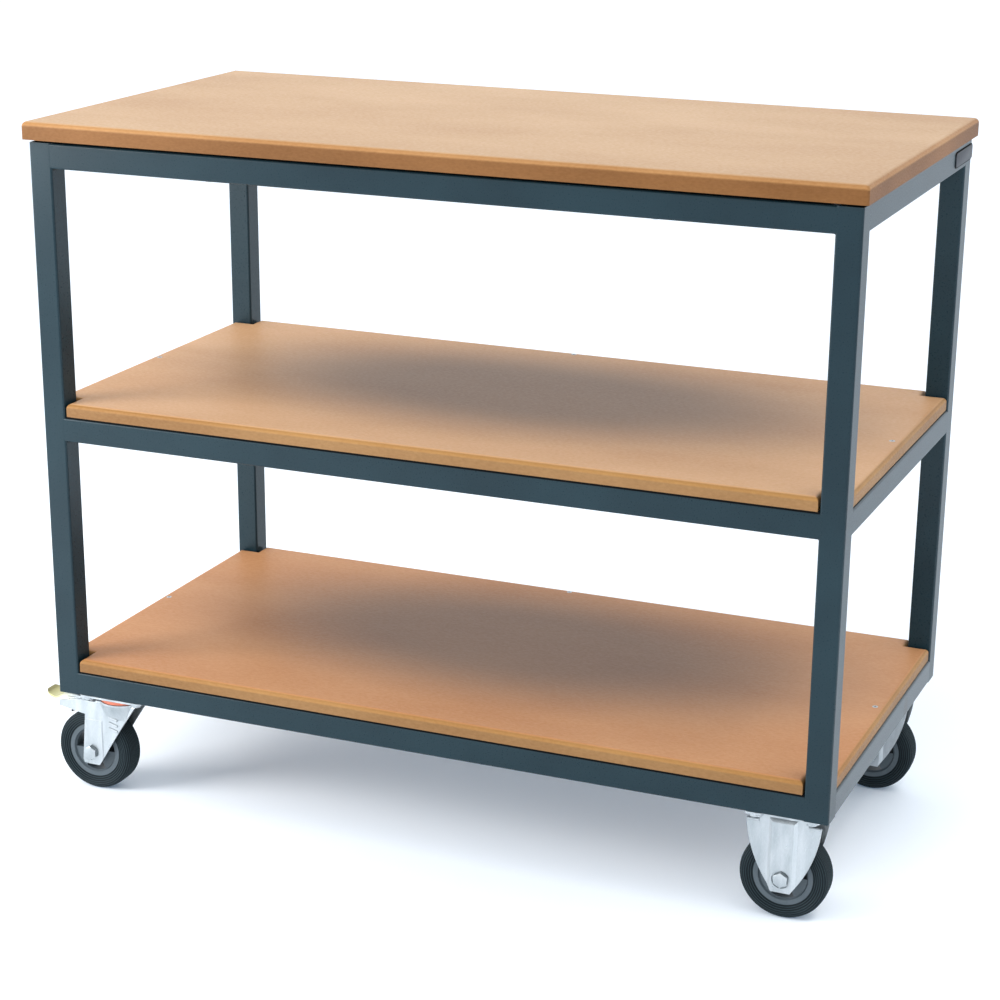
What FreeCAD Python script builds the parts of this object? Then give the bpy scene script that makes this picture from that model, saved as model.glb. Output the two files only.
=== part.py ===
"""Mobile work table: a welded square-tube frame with a worktop and two shelves of fibreboard.

It rolls on two fixed casters at the right end and two braked swivel casters at the left end.
Millimetres, +Z up, front towards -Y, right end towards +X. The origin is on the floor, under the
middle of the overall length and width.
"""
import FreeCAD, Part
import math
import os
from FreeCAD import Vector

# Boards
worktop_length = 1200.0
worktop_width = 614.0
worktop_thickness = 25.0
worktop_overhang = 7.0
shelf_thickness = 19.0
board_edge_radius = 7.0
board_corner_radius = 3.0
shelf_front_inset = 1.0
shelf_rear_inset = 7.5
shelf_left_inset = 5.5
shelf_right_inset = 2.0
shelf_leg_clearance = 3.0

# Frame of square tube
tube_size = 35.0
tube_wall = 2.0
tube_corner_radius = 3.0
tube_inner_corner_share = 1.0 / 3.0
deck_pitch = 392.0
coped_share = 0.8
weld_size = 5.0
foot_plate_thickness = 5.0

# Cushion strips between the rails and the boards
worktop_strip_thickness = 4.0
shelf_strip_thickness = 2.0
strip_width = 15.0
strip_end_gap = 10.0

# Screws that hold the boards
screw_radius = 2.0
screw_head_radius = 4.2
screw_head_height = 2.6
screw_hole_clearance = 0.2
shelf_screw_length = 34.0
worktop_screw_bite = 15.0
worktop_screw_head_height = 3.0
worktop_screw_spread = 640.0

# Casters as a whole
caster_height = 160.0
caster_headroom = 35.0
plate_length = 105.0
plate_width = 80.0
plate_thickness = 3.0
plate_corner_radius = 6.0
plate_front_gap = 1.0
plate_rear_gap = 46.0
sheet = 3.0
fixed_end_distance = 65.0
swivel_end_distance = 86.0
swivel_offset = 45.0

# Caster bolts, the nuts that take them and the corner gussets
bolt_spacing_length = 80.0
bolt_spacing_width = 60.0
bolt_radius = 4.0
bolt_hole_radius = 4.5
bolt_flats = 13.0
bolt_head_height = 5.3
bolt_length = 16.0
nut_height = 6.5
thread_clearance = 0.05
gusset_length = 105.0
gusset_width = 55.0
gusset_thickness = 4.0
gusset_chamfer = 18.0

# Wheels
tyre_width = 37.5
tyre_height = 20.5
tyre_seat_step = 3.0
tyre_shoulder_share = 0.52
tyre_tread_share = 0.62
tyre_crown = 0.36
rim_width = 32.0
rim_flange_thickness = 2.5
rim_flange_height = 6.5
rim_barrel_taper = 2.0
rim_web_thickness = 26.0
hub_radius = 17.0
hub_bore_radius = 11.5
hub_end_gap = 1.7
window_count = 3
window_angle = 60.0
window_inner_margin = 2.5
window_outer_margin = 0.6
hub_taper = 1.2
bearing_length = 34.0
running_clearance = 0.05

# Axles
axle_radius = 6.0
axle_sleeve_radius = 8.5
axle_hole_clearance = 0.05
axle_flats = 19.0
axle_head_height = 7.5
axle_nut_height = 10.0
fork_side_gap = 2.25

# Pressed forks
bend_radius = 6.0
rib_half_width = 20.0
rib_height = 3.5
rib_draft = 5.0
lip_radius = 2.2
relief_gap = 5.0
fork_tip_drop = 19.5
fork_tip_half_width = 13.5
fork_heel_half_width = 17.0
fork_heel_drop = 14.0
fixed_waist_shares = (0.725, 0.245)
fixed_wing_shares = (0.99, 0.875)
fixed_notch_share = 0.65
fixed_neck_share = 0.457
fixed_rib_top_share = 0.93
axle_well_radius = 13.0

# Swivel head
race_gap = 6.0
race_thickness = 2.0
race_inner_radius = 20.0
race_outer_radius = 30.0
ball_clearance = 0.15
ball_count = 10
crown_radius = 36.0
seal_radius = 34.0
seal_wall = 2.5
seal_clearance = 0.4
kingpin_radius = 8.0
kingpin_neck_radius = 7.0
kingpin_flange_radius = 14.0
kingpin_head_height = 7.0
kingpin_gap = 0.3
hood_depth = 25.0
hood_half_length = 16.0
swivel_edge_shares = (0.955, 0.34)
swivel_rib_shares = (-0.16, 0.47)
swivel_rib_top_share = 0.62
swivel_rib_height = 1.5
flute_count = 3
flute_radius = 2.2
flute_length = 15.0
flute_pitch = 9.0
flute_slope = 14.0
flute_shares = (0.72, 0.5)

# Brake pedal, its pivot and its shoe
pivot_back = 14.0
pivot_drop = 20.0
pivot_radius = 3.0
arm_reach = 53.0
arm_margin = 4.5
arm_end_drop = 1.5
arm_depth = 10.0
arm_root_back = 9.0
arm_root_drop = 17.5
pedal_sheet = 3.0
pedal_half_width = 20.0
pad_half_width = 16.0
pedal_front_back = 4.0
pedal_reach = 82.0
pedal_back_shares = (0.05, 0.45, 0.64, 0.77, 0.86, 1.0)
pedal_crest = 8.5
pedal_rise_shares = (0.76, 1.0, 0.59, -0.06, 0.06, 0.82)
pedal_flange_share = 0.5
pedal_flange_depth = 8.0
pad_taper_share = 0.7
pad_corner_radius = 8.0
brake_angle = 8.0
shoe_half_width = 14.0
shoe_near_back = 24.0
shoe_far_back = 39.0
shoe_gap = 0.4

# Length by which a cutting shape runs past what it cuts
overrun = 20.0

# Derived places
diagonal_share = math.sqrt(0.5)
wheel_diameter = caster_height - caster_headroom
wheel_radius = wheel_diameter / 2
tyre_bead_radius = wheel_radius - tyre_height
tyre_seat_radius = tyre_bead_radius - tyre_seat_step
rim_lip_radius = tyre_bead_radius - rim_flange_height
rim_web_radius = rim_lip_radius - rim_barrel_taper
pivot_rise = caster_height - pivot_drop - wheel_radius
frame_length = worktop_length - 2 * worktop_overhang
frame_width = worktop_width - 2 * worktop_overhang
frame_end = frame_length / 2
frame_side = frame_width / 2
leg_x = frame_end - tube_size / 2
leg_y = frame_side - tube_size / 2
frame_top = caster_height + tube_size + 2 * deck_pitch
worktop_bottom = frame_top + worktop_strip_thickness
plate_bottom = caster_height - plate_thickness
caster_front_y = -frame_side + plate_front_gap + plate_width / 2
caster_rear_y = frame_side - plate_rear_gap - plate_width / 2
rear_gusset_width = gusset_width + plate_rear_gap - plate_front_gap
fixed_x = frame_end - fixed_end_distance
swivel_x = -frame_end + swivel_end_distance
trail_x = swivel_x - swivel_offset
fork_inner = tyre_width / 2 + fork_side_gap
fork_outer = fork_inner + sheet
crown_top = plate_bottom - race_thickness - race_gap
crown_bottom = crown_top - sheet
pedal_tip_x = trail_x - pedal_reach
table_middle_x = -(pedal_tip_x + worktop_length / 2) / 2
fixed_drop = plate_bottom - wheel_radius
wing_x = plate_length / 2 * fixed_wing_shares[0]
wing_z = fixed_drop * fixed_wing_shares[1]
notch_x = plate_length / 2 * fixed_notch_share
neck_x = plate_length / 2 * fixed_neck_share

HEXAGON = 6
LEFT, RIGHT = -1, 1
FRONT, REAR = -1, 1
END_NAMES = {LEFT: "left", RIGHT: "right"}
SIDE_NAMES = {FRONT: "front", REAR: "rear"}
LEVEL_NAMES = ("bottom", "middle", "top")
AXIS_X, AXIS_Y, AXIS_Z = Vector(1, 0, 0), Vector(0, 1, 0), Vector(0, 0, 1)


def box(low, high):
    """A box between two corners."""
    size = high - low
    return Part.makeBox(size.x, size.y, size.z, low)


def outline_face(steps):
    """A face inside a closed outline: a point goes straight to the next, a (middle, end) pair is an arc."""
    edges = []
    start = here = steps[0]
    for step in steps[1:] + [start]:
        if isinstance(step, tuple):
            edges.append(Part.Arc(here, step[0], step[1]).toShape())
            here = step[1]
        elif (step - here).Length > 0:
            edges.append(Part.makeLine(here, step))
            here = step
    return Part.Face(Part.Wire(edges))


def rounded_rectangle(centre, u, v, half_u, half_v, radius):
    """A rectangle's face with round corners, in the plane of two unit vectors."""
    arcs = []
    for side_u, side_v in ((1, 1), (-1, 1), (-1, -1), (1, -1)):
        hub = centre + u * (side_u * (half_u - radius)) + v * (side_v * (half_v - radius))
        on_u = hub + u * (side_u * radius)
        on_v = hub + v * (side_v * radius)
        middle = hub + (u * side_u + v * side_v) * (radius * diagonal_share)
        arcs.append((on_u, middle, on_v) if side_u == side_v else (on_v, middle, on_u))
    edges = []
    for arc, following in zip(arcs, arcs[1:] + arcs[:1]):
        edges.append(Part.Arc(*arc).toShape())
        edges.append(Part.makeLine(arc[2], following[0]))
    return Part.Face(Part.Wire(edges))


def hexagon(base, axis, side, flats, height):
    """A hexagonal prism on a base point, along an axis, with one corner towards a side vector."""
    corner = side * (flats / math.sqrt(3.0))
    turns = [FreeCAD.Rotation(axis, i * 360.0 / HEXAGON) for i in range(HEXAGON)]
    points = [base + turn.multVec(corner) for turn in turns]
    return outline_face(points).extrude(axis * height)


def turned(profile, centre, axis):
    """A solid of revolution: profile points are (radius, height along the axis), arcs as (middle, end)."""
    across = AXIS_X if abs(axis.x) < diagonal_share else AXIS_Z

    def place(point):
        return centre + across * point[0] + axis * point[1]

    steps = []
    for step in profile:
        is_arc = isinstance(step[0], tuple)
        steps.append((place(step[0]), place(step[1])) if is_arc else place(step))
    return outline_face(steps).revolve(centre, axis, 360.0)


# Frame


def bar(start, axis, length, u, v, inset=0.0, corner=tube_corner_radius):
    """A rounded square bar with the tube's outline drawn in by an inset."""
    half = tube_size / 2 - inset
    return rounded_rectangle(start, u, v, half, half, corner).extrude(axis * length)


def tube(start, axis, length, u, v):
    """A length of the frame's square tube."""
    bore = bar(start, axis, length, u, v, tube_wall, tube_corner_radius * tube_inner_corner_share)
    return bar(start, axis, length, u, v).cut(bore)


def leg_bars():
    """The outer outline of each leg as a full bar, by end and side."""
    length = frame_top - caster_height
    return {
        (end, side): bar(Vector(end * leg_x, side * leg_y, caster_height), AXIS_Z, length, AXIS_X, AXIS_Y)
        for end in (LEFT, RIGHT)
        for side in (FRONT, REAR)
    }


def legs():
    """The four legs, each a tube of full frame height."""
    length = frame_top - caster_height
    shapes = {}
    for end in (LEFT, RIGHT):
        for side in (FRONT, REAR):
            foot = Vector(end * leg_x, side * leg_y, caster_height)
            shapes[f"leg_{SIDE_NAMES[side]}_{END_NAMES[end]}"] = tube(foot, AXIS_Z, length, AXIS_X, AXIS_Y)
    return shapes


def inner_corners(end, z):
    """Cutting boxes for the inner corners of an end rail, which the long rails' ends fill."""
    inner_x, middle_x = end * (frame_end - tube_size - overrun), end * leg_x
    near, far = frame_side - tube_size, frame_side - tube_size + overrun
    return [
        box(
            Vector(min(inner_x, middle_x), min(side * near, side * far), z - tube_size),
            Vector(max(inner_x, middle_x), max(side * near, side * far), z + tube_size),
        )
        for side in (FRONT, REAR)
    ]


def rails():
    """Front, rear and end rails at three levels, their ends coped to the legs' round corners."""
    reach = tube_corner_radius * coped_share
    long_half = frame_end - tube_size + reach
    cross_half = frame_side - tube_size + reach
    bars = leg_bars()
    shapes = {}
    for level, level_name in enumerate(LEVEL_NAMES):
        z = caster_height + tube_size / 2 + level * deck_pitch
        for side in (FRONT, REAR):
            rail = tube(Vector(-long_half, side * leg_y, z), AXIS_X, 2 * long_half, AXIS_Y, AXIS_Z)
            rail = rail.cut([bars[(LEFT, side)], bars[(RIGHT, side)]])
            shapes[f"{level_name}_rail_{SIDE_NAMES[side]}"] = rail
        for end in (LEFT, RIGHT):
            rail = tube(Vector(end * leg_x, -cross_half, z), AXIS_Y, 2 * cross_half, AXIS_X, AXIS_Z)
            rail = rail.cut([bars[(end, FRONT)], bars[(end, REAR)]] + inner_corners(end, z))
            shapes[f"{level_name}_rail_{END_NAMES[end]}"] = rail
    return shapes


def weld_bead(corner, towards_a, towards_b, along, length):
    """A hollow fillet of weld in the corner between two faces."""
    middle = corner + (towards_a + towards_b) * (weld_size * (1 - diagonal_share))
    start, end = corner + towards_a * weld_size, corner + towards_b * weld_size
    section = outline_face([corner, start, (middle, end)])
    return section.extrude(along * length)


def frame_welds():
    """The fillets under the upper and middle rails, in the corners with the legs."""
    width = tube_size - 2 * tube_corner_radius
    beads = []
    for level in (1, 2):
        z = caster_height + level * deck_pitch
        for end in (LEFT, RIGHT):
            for side in (FRONT, REAR):
                inner_x = end * (frame_end - tube_size)
                inner_y = side * (frame_side - tube_size)
                on_long = Vector(inner_x, side * leg_y - width / 2, z)
                on_cross = Vector(end * leg_x - width / 2, inner_y, z)
                beads.append(weld_bead(on_long, AXIS_X * -end, AXIS_Z * -1, AXIS_Y, width))
                beads.append(weld_bead(on_cross, AXIS_Y * -side, AXIS_Z * -1, AXIS_X, width))
    return beads


def foot_plates():
    """A plate welded into the lower end of each leg."""
    half = tube_size / 2 - tube_wall
    corner = tube_corner_radius * tube_inner_corner_share
    plates = []
    for end in (LEFT, RIGHT):
        for side in (FRONT, REAR):
            foot = Vector(end * leg_x, side * leg_y, caster_height)
            face = rounded_rectangle(foot, AXIS_X, AXIS_Y, half, half, corner)
            plates.append(face.extrude(AXIS_Z * foot_plate_thickness))
    return plates


def gussets():
    """A flat plate in each lower corner of the frame, flush with the rails, that its caster is bolted to."""
    plates = []
    for end in (LEFT, RIGHT):
        for side in (FRONT, REAR):
            corner = Vector(end * (frame_end - tube_size), side * (frame_side - tube_size), caster_height)
            along, across = AXIS_X * -end, AXIS_Y * -side
            width = gusset_width if side == FRONT else rear_gusset_width
            far_x, far_y = along * gusset_length, across * width
            points = [
                corner,
                corner + far_x,
                corner + far_x + far_y - across * gusset_chamfer,
                corner + far_x + far_y - along * gusset_chamfer,
                corner + far_y,
            ]
            plates.append(outline_face(points).extrude(AXIS_Z * gusset_thickness))
    return plates


# Boards and what holds them


def rounded_board(blank):
    """A board with the edges of its upper face rounded over."""
    top = blank.BoundBox.ZMax
    edges = [edge for edge in blank.Edges if edge.BoundBox.ZMin > top - board_edge_radius]
    return blank.makeFillet(board_edge_radius, edges)


def worktop():
    """The worktop, which overhangs the frame all round."""
    half_x, half_y = worktop_length / 2, worktop_width / 2
    base = Vector(0, 0, worktop_bottom)
    face = rounded_rectangle(base, AXIS_X, AXIS_Y, half_x, half_y, board_corner_radius)
    return rounded_board(face.extrude(AXIS_Z * worktop_thickness))


def shelf(level):
    """A shelf that lies on its four rails, notched round the legs."""
    bottom = caster_height + tube_size + level * deck_pitch + shelf_strip_thickness
    low_x, high_x = -frame_end + shelf_left_inset, frame_end - shelf_right_inset
    low_y, high_y = -frame_side + shelf_front_inset, frame_side - shelf_rear_inset
    notch_x = frame_end - tube_size - shelf_leg_clearance
    notch_y = frame_side - tube_size - shelf_leg_clearance
    points = [
        Vector(-notch_x, low_y, bottom), Vector(notch_x, low_y, bottom),
        Vector(notch_x, -notch_y, bottom), Vector(high_x, -notch_y, bottom),
        Vector(high_x, notch_y, bottom), Vector(notch_x, notch_y, bottom),
        Vector(notch_x, high_y, bottom), Vector(-notch_x, high_y, bottom),
        Vector(-notch_x, notch_y, bottom), Vector(low_x, notch_y, bottom),
        Vector(low_x, -notch_y, bottom), Vector(-notch_x, -notch_y, bottom),
    ]
    return rounded_board(outline_face(points).extrude(AXIS_Z * shelf_thickness))


def cushion_strips():
    """A strip along the top of every rail, under the board."""
    half_width = strip_width / 2
    long_half = frame_end - tube_size - strip_end_gap
    cross_half = frame_side - tube_size - strip_end_gap
    strips = []
    for level, level_name in enumerate(LEVEL_NAMES):
        bottom = caster_height + tube_size + level * deck_pitch
        thickness = worktop_strip_thickness if level_name == "top" else shelf_strip_thickness
        top = bottom + thickness
        for side in (FRONT, REAR):
            y = side * leg_y
            low = Vector(-long_half, y - half_width, bottom)
            strips.append(box(low, Vector(long_half, y + half_width, top)))
        for end in (LEFT, RIGHT):
            x = end * leg_x
            low = Vector(x - half_width, -cross_half, bottom)
            strips.append(box(low, Vector(x + half_width, cross_half, top)))
    return strips


def shelf_screw(head, grow):
    """A countersunk screw pointing down from the middle of its head, enlarged all round by a clearance."""
    shank, wide = screw_radius + grow, screw_head_radius + grow
    tip = -shelf_screw_length - grow
    profile = [(0, 0), (wide, 0), (shank, -screw_head_height), (shank, tip), (0, tip)]
    return turned(profile, head, AXIS_Z)


def shelf_screws(grow=0.0):
    """The screws in the middle of each shelf's left, right and rear edges."""
    screws = []
    for level in (0, 1):
        top = caster_height + tube_size + level * deck_pitch + shelf_strip_thickness + shelf_thickness
        for x, y in ((-leg_x, 0), (leg_x, 0), (0, leg_y)):
            screws.append(shelf_screw(Vector(x, y, top), grow))
    return screws


def worktop_screw(foot, grow):
    """A pan-head screw that rises from under a top rail into the worktop."""
    shank, wide = screw_radius + grow, screw_head_radius + grow
    rise = worktop_bottom - foot.z + worktop_screw_bite + grow
    profile = [(0, -worktop_screw_head_height), (wide, -worktop_screw_head_height), (wide, 0), (shank, 0),
               (shank, rise), (0, rise)]
    return turned(profile, foot, AXIS_Z)


def worktop_screws(grow=0.0):
    """Two screws through each long top rail and one through each end rail."""
    under = frame_top - tube_size
    spread = worktop_screw_spread / 2
    places = [(end * spread, side * leg_y) for end in (LEFT, RIGHT) for side in (FRONT, REAR)]
    places += [(end * leg_x, 0) for end in (LEFT, RIGHT)]
    return [worktop_screw(Vector(x, y, under), grow) for x, y in places]


# Caster bolts


def caster_centres():
    """The middle of each caster's plate on the floor plan, by end and side."""
    places_x = {LEFT: swivel_x, RIGHT: fixed_x}
    places_y = {FRONT: caster_front_y, REAR: caster_rear_y}
    return {(end, side): Vector(x, y, 0) for end, x in places_x.items() for side, y in places_y.items()}


def bolt_places(centre):
    """The four bolt positions of a plate."""
    half_x, half_y = bolt_spacing_length / 2, bolt_spacing_width / 2
    return [centre + Vector(u * half_x, v * half_y, 0) for u in (-1, 1) for v in (-1, 1)]


def all_bolt_places():
    """The sixteen bolt positions."""
    return [place for centre in caster_centres().values() for place in bolt_places(centre)]


def in_tube(place):
    """Whether a bolt goes into a tube along the frame's end, and along its side."""
    return abs(place.x) > frame_end - tube_size, abs(place.y) > frame_side - tube_size


def caster_bolts():
    """Hexagon bolts pointing up through the plates."""
    bolts = []
    for place in all_bolt_places():
        seat = Vector(place.x, place.y, plate_bottom)
        head = hexagon(seat - AXIS_Z * bolt_head_height, AXIS_Z, AXIS_X, bolt_flats, bolt_head_height)
        bolts.append(head.fuse(Part.makeCylinder(bolt_radius, bolt_length, seat)).removeSplitter())
    return bolts


def weld_nuts():
    """A nut over each bolt, inside the rail or on the gusset; a leg's foot plate is tapped instead."""
    nuts = []
    for place in all_bolt_places():
        at_end, at_side = in_tube(place)
        if at_end and at_side:
            continue
        rise = tube_wall if at_end or at_side else gusset_thickness
        seat = Vector(place.x, place.y, caster_height + rise)
        bore = Part.makeCylinder(bolt_radius + thread_clearance, nut_height, seat)
        nuts.append(hexagon(seat, AXIS_Z, AXIS_X, bolt_flats, nut_height).cut(bore))
    return nuts


def bolt_holes(radius):
    """Cutting cylinders through the underside of the frame, one for each caster bolt."""
    depth = max(tube_wall, gusset_thickness, foot_plate_thickness)
    return [
        Part.makeCylinder(radius, depth + overrun, Vector(place.x, place.y, caster_height - overrun))
        for place in all_bolt_places()
    ]


# Wheels


def tyre(hub):
    """The solid tyre: flat sides that swell to the shoulders, and a lightly crowned tread."""
    half = tyre_width / 2
    bead = rim_width / 2
    seat = bead - rim_flange_thickness
    shoulder = tyre_bead_radius + tyre_height * tyre_shoulder_share
    tread = half * tyre_tread_share
    turn_r = shoulder + (wheel_radius - tyre_crown - shoulder) * diagonal_share
    turn_y = tread + (half - tread) * diagonal_share
    profile = [
        (tyre_seat_radius, -seat), (tyre_bead_radius, -seat), (tyre_bead_radius, -bead), (shoulder, -half),
        ((turn_r, -turn_y), (wheel_radius - tyre_crown, -tread)),
        ((wheel_radius, 0), (wheel_radius - tyre_crown, tread)),
        ((turn_r, turn_y), (shoulder, half)),
        (tyre_bead_radius, bead), (tyre_bead_radius, seat), (tyre_seat_radius, seat),
    ]
    return turned(profile, hub, AXIS_Y)


def window(hub, middle_angle):
    """A sector-shaped cutting block through the wheel's web."""
    inner = hub_radius + window_inner_margin
    outer = rim_web_radius - window_outer_margin
    depth = rim_web_thickness + overrun
    base = hub - AXIS_Y * (depth / 2)
    half = math.radians(window_angle / 2)
    middle = math.radians(middle_angle)

    def at(radius, angle):
        return base + AXIS_X * (radius * math.sin(angle)) + AXIS_Z * (radius * math.cos(angle))

    sector = outline_face([
        at(inner, middle - half), at(outer, middle - half),
        (at(outer, middle), at(outer, middle + half)),
        at(inner, middle + half),
        (at(inner, middle), at(inner, middle - half)),
    ])
    return sector.extrude(AXIS_Y * depth)


def rim(hub):
    """The moulded rim: hub, web with windows, barrel and a flange each side."""
    half = rim_width / 2
    seat = half - rim_flange_thickness
    web = rim_web_thickness / 2
    hub_half = fork_inner - hub_end_gap
    profile = [
        (hub_bore_radius, -hub_half), (hub_radius - hub_taper, -hub_half), (hub_radius, -web),
        (rim_web_radius, -web), (rim_lip_radius, -half), (tyre_bead_radius, -half), (tyre_bead_radius, -seat),
        (tyre_seat_radius, -seat), (tyre_seat_radius, seat), (tyre_bead_radius, seat),
        (tyre_bead_radius, half), (rim_lip_radius, half), (rim_web_radius, web), (hub_radius, web),
        (hub_radius - hub_taper, hub_half), (hub_bore_radius, hub_half),
    ]
    solid = turned(profile, hub, AXIS_Y)
    step = 360.0 / window_count
    return solid.cut([window(hub, 180.0 + i * step) for i in range(window_count)])


def bearing(hub):
    """The bearing cage pressed into the hub, running on the axle sleeve."""
    base = hub - AXIS_Y * (bearing_length / 2)
    ring = Part.makeCylinder(hub_bore_radius, bearing_length, base, AXIS_Y)
    return ring.cut(Part.makeCylinder(axle_sleeve_radius + running_clearance, bearing_length, base, AXIS_Y))


def axle_sleeve(hub):
    """The spacer tube between the fork's legs that the wheel turns on."""
    base = hub - AXIS_Y * fork_inner
    outer = Part.makeCylinder(axle_sleeve_radius, 2 * fork_inner, base, AXIS_Y)
    return outer.cut(Part.makeCylinder(axle_radius + axle_hole_clearance, 2 * fork_inner, base, AXIS_Y))


def axle_bolt(hub):
    """The axle bolt with its head to the front, and its nut."""
    front = hub - AXIS_Y * fork_outer
    rear = hub + AXIS_Y * fork_outer
    shank = Part.makeCylinder(axle_radius, 2 * fork_outer + axle_nut_height, front, AXIS_Y)
    head = hexagon(front - AXIS_Y * axle_head_height, AXIS_Y, AXIS_Z, axle_flats, axle_head_height)
    bore = Part.makeCylinder(axle_radius + thread_clearance, axle_nut_height, rear, AXIS_Y)
    nut = hexagon(rear, AXIS_Y, AXIS_Z, axle_flats, axle_nut_height).cut(bore)
    return [head.fuse(shank).removeSplitter(), nut]


def axle_bore(hub):
    """A cutting cylinder for the axle through both legs of a fork."""
    base = hub - AXIS_Y * (fork_outer + overrun)
    return Part.makeCylinder(axle_radius + axle_hole_clearance, 2 * (fork_outer + overrun), base, AXIS_Y)


# Pressed parts shared by both kinds of caster


def channel(middle, low_x, high_x, foot, top):
    """A sheet folded to an upside-down U that runs along X."""
    def arch(half, height, radius):
        inset = radius * (1 - diagonal_share)
        left, right = Vector(low_x, middle - half, 0), Vector(low_x, middle + half, 0)
        return outline_face([
            left + AXIS_Z * foot,
            left + AXIS_Z * (height - radius),
            (left + Vector(0, inset, height - inset), left + Vector(0, radius, height)),
            right + Vector(0, -radius, height),
            (right + Vector(0, -inset, height - inset), right + AXIS_Z * (height - radius)),
            right + AXIS_Z * foot,
        ]).extrude(AXIS_X * (high_x - low_x))

    return arch(fork_outer, top, bend_radius).cut(arch(fork_inner, top - sheet, bend_radius - sheet))


def emboss(middle_y, side, low, high, height, draft):
    """A tapered panel that stands out of a fork's leg, from corner points on its outer face."""
    face_y = middle_y + side * fork_outer
    inset = Vector(draft, 0, draft)
    loops = []
    for y, a, b in ((face_y, low, high), (face_y + side * height, low + inset, high - inset)):
        corners = [Vector(a.x, y, a.z), Vector(b.x, y, a.z), Vector(b.x, y, b.z), Vector(a.x, y, b.z)]
        loops.append(Part.makePolygon(corners + corners[:1]))
    return Part.makeLoft(loops, True, True)


def with_embossing(shape, hub, low, high, height, draft, side_view):
    """A fork with a raised panel pressed out of both legs, hollow behind and sunk again round the axle."""
    start = hub - AXIS_Y * (fork_outer + overrun)
    length = 2 * (fork_outer + overrun)
    mouth = Part.makeCylinder(axle_well_radius, length, start, AXIS_Y)
    wall = Part.makeCylinder(axle_well_radius + sheet, length, start, AXIS_Y)
    for side in (FRONT, REAR):
        panel = emboss(hub.y, side, low, high, height, draft).common(side_view)
        hollow = panel.translated(AXIS_Y * (-side * sheet)).cut(wall)
        shape = shape.fuse(panel.cut(mouth)).cut(hollow)
    return shape


def mounting_plate(centre):
    """A caster's flat plate with round corners and its bolt holes."""
    base = Vector(centre.x, centre.y, plate_bottom)
    face = rounded_rectangle(base, AXIS_X, AXIS_Y, plate_length / 2, plate_width / 2, plate_corner_radius)
    holes = [
        Part.makeCylinder(bolt_hole_radius, plate_thickness, Vector(place.x, place.y, plate_bottom))
        for place in bolt_places(centre)
    ]
    return face.extrude(AXIS_Z * plate_thickness).cut(holes)


# Fixed casters


def fixed_outline():
    """A fixed bracket's leg seen from the side, about its axle: a winged shield with a neck to the plate."""
    waist_x = plate_length / 2 * fixed_waist_shares[0]
    waist_z = fixed_drop * fixed_waist_shares[1]
    top = caster_height - wheel_radius
    return outline_face([
        Vector(-fork_tip_half_width, 0, -fork_tip_drop),
        Vector(fork_tip_half_width, 0, -fork_tip_drop),
        Vector(fork_heel_half_width, 0, -fork_heel_drop),
        (Vector(waist_x, 0, waist_z), Vector(wing_x, 0, wing_z)),
        Vector(notch_x, 0, wing_z), Vector(neck_x, 0, fixed_drop), Vector(neck_x, 0, top),
        Vector(-neck_x, 0, top), Vector(-neck_x, 0, fixed_drop), Vector(-notch_x, 0, wing_z),
        Vector(-wing_x, 0, wing_z),
        (Vector(-waist_x, 0, waist_z), Vector(-fork_heel_half_width, 0, -fork_heel_drop)),
    ])


def plate_notches(centre):
    """A cutting block for the two notches in a fixed caster's plate, out of which its legs are folded."""
    across = box(
        Vector(centre.x - neck_x - relief_gap, centre.y - plate_width, plate_bottom),
        Vector(centre.x + neck_x + relief_gap, centre.y + plate_width, caster_height),
    )
    kept = box(
        Vector(centre.x - plate_length / 2, centre.y - fork_inner, plate_bottom),
        Vector(centre.x + plate_length / 2, centre.y + fork_inner, caster_height),
    )
    return across.cut(kept)


def wing_lips(hub):
    """The rolled lip along the top edge of each wing."""
    lips = []
    for side in (FRONT, REAR):
        for end in (LEFT, RIGHT):
            near = min(end * notch_x, end * wing_x)
            start = hub + Vector(near, side * (fork_outer - lip_radius / 2), wing_z - lip_radius)
            lips.append(Part.makeCylinder(lip_radius, wing_x - notch_x, start, AXIS_X))
    return lips


def fixed_bracket(centre):
    """One pressing: plate, two shield-shaped legs with a central rib, and wings with rolled lips."""
    half = plate_length / 2
    hub = Vector(centre.x, centre.y, wheel_radius)
    reach = 2 * (fork_outer + overrun)
    side_view = fixed_outline().translated(hub - AXIS_Y * (reach / 2)).extrude(AXIS_Y * reach)
    foot = wheel_radius - fork_tip_drop - overrun
    body = channel(centre.y, centre.x - half, centre.x + half, foot, caster_height).common(side_view)
    rib_low = hub + Vector(-rib_half_width, 0, -fork_tip_drop - rib_draft)
    rib_high = hub + Vector(rib_half_width, 0, fixed_drop * fixed_rib_top_share)
    body = with_embossing(body, hub, rib_low, rib_high, rib_height, rib_draft, side_view)
    plate = mounting_plate(centre).cut(plate_notches(centre))
    return body.fuse([plate] + wing_lips(hub)).cut(axle_bore(hub)).removeSplitter()


# Swivel casters


def swivel_plate(centre):
    """The mounting plate with the pressed upper ball race and the hole for the kingpin."""
    race_base = Vector(centre.x, centre.y, plate_bottom - race_thickness)
    race = Part.makeCylinder(race_outer_radius, race_thickness, race_base)
    race = race.cut(Part.makeCylinder(race_inner_radius, race_thickness, race_base))
    bore = Part.makeCylinder(kingpin_neck_radius, plate_thickness, Vector(centre.x, centre.y, plate_bottom))
    return mounting_plate(centre).fuse(race).cut(bore).removeSplitter()


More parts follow.
